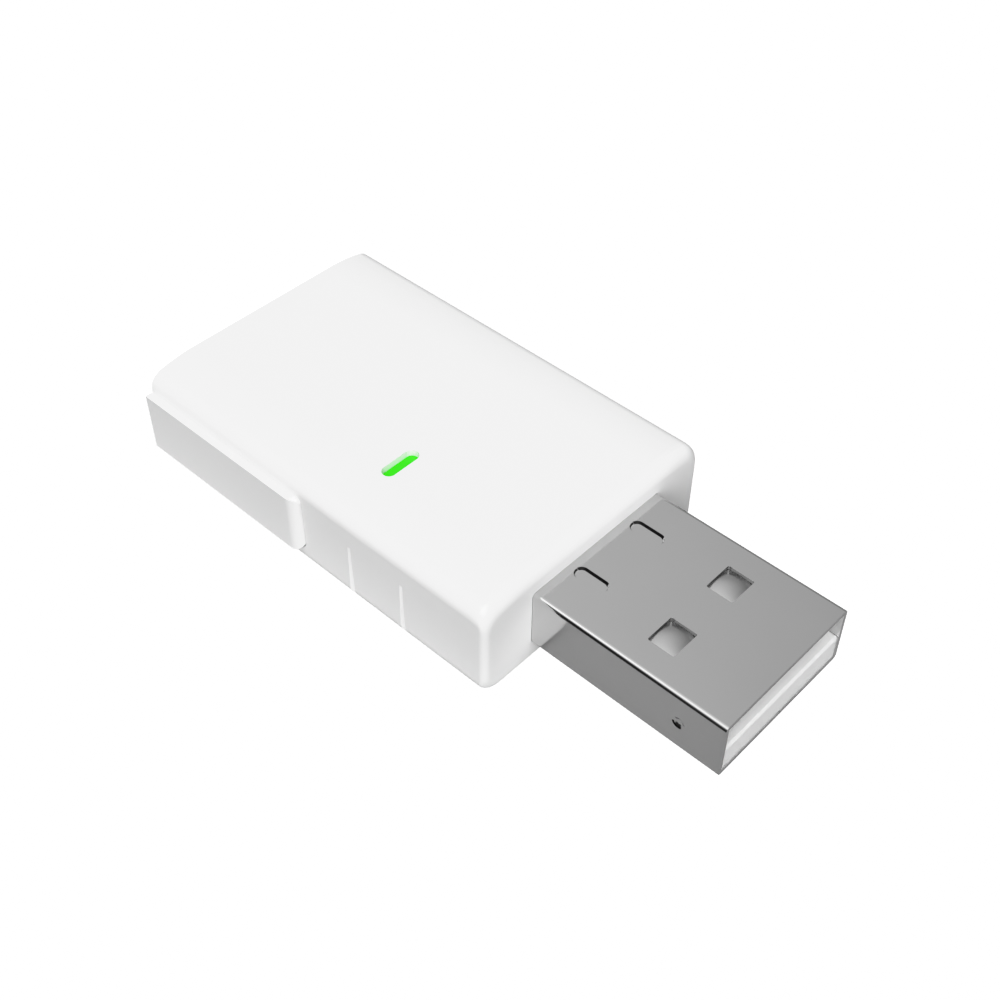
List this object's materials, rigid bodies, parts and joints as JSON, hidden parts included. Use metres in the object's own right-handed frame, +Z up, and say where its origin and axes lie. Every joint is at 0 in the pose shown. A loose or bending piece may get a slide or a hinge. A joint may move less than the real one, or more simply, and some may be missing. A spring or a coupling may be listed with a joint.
{
  "type": "usb bluetooth gateway",
  "caption": "Compact white wireless gateway stick with a USB-A plug, a push button along one side, a lit status slot and finger grooves.",
  "frame": {"origin": "Middle of the flat underside of the housing, which the part rests on.", "axes": "+X out through the plug, +Z up out of the top face with the status light, -Y towards the push button."},
  "size_m": [0.0457, 0.021, 0.008],
  "materials": {
    "white_housing": "moulded white plastic with a very fine satin spark finish",
    "white_button": "moulded white plastic, satin",
    "clear_green": "clear plastic lit bright green from below",
    "plug_steel": "bright nickel-plated steel sheet, nearly mirror-like",
    "white_insulator": "white heat-proof plastic, smooth",
    "gold_contact": "gold-plated strip, polished",
    "board_green": "glass-fibre board under green solder mask",
    "black_moulding": "black moulding compound",
    "pale_ceramic": "pale fired ceramic",
    "dark_ferrite": "grey pressed ferrite",
    "tan_ceramic": "tan fired ceramic"
  },
  "bodies": {
    "housing": {"housing_sleeve": "white_housing", "rear_cap": "white_housing", "light_pipe": "clear_green", "usb_shell": "plug_steel", "usb_insulator": "white_insulator", "contact_power": "gold_contact", "contact_data_minus": "gold_contact", "contact_data_plus": "gold_contact", "contact_ground": "gold_contact", "circuit_board": "board_green", "switch_body": "black_moulding", "status_lamp": "clear_green", "shield_can": "plug_steel", "radio_chip": "black_moulding", "memory_chip": "black_moulding", "clock_crystal": "plug_steel", "chip_aerial": "pale_ceramic", "voltage_regulator": "black_moulding", "surge_clamp": "black_moulding", "power_coil": "dark_ferrite", "capacitors": "tan_ceramic", "resistors": "black_moulding"},
    "button": {"side_button": "white_button", "switch_plunger": "white_insulator"}
  },
  "joints": [
    {"name": "button_press", "type": "slide", "parent": "housing", "child": "button", "axis": [0, 1, 0], "range_m": [0, 0.00025], "stiffness_N_per_m": 6000, "springref_m": -0.00005}
  ]
}
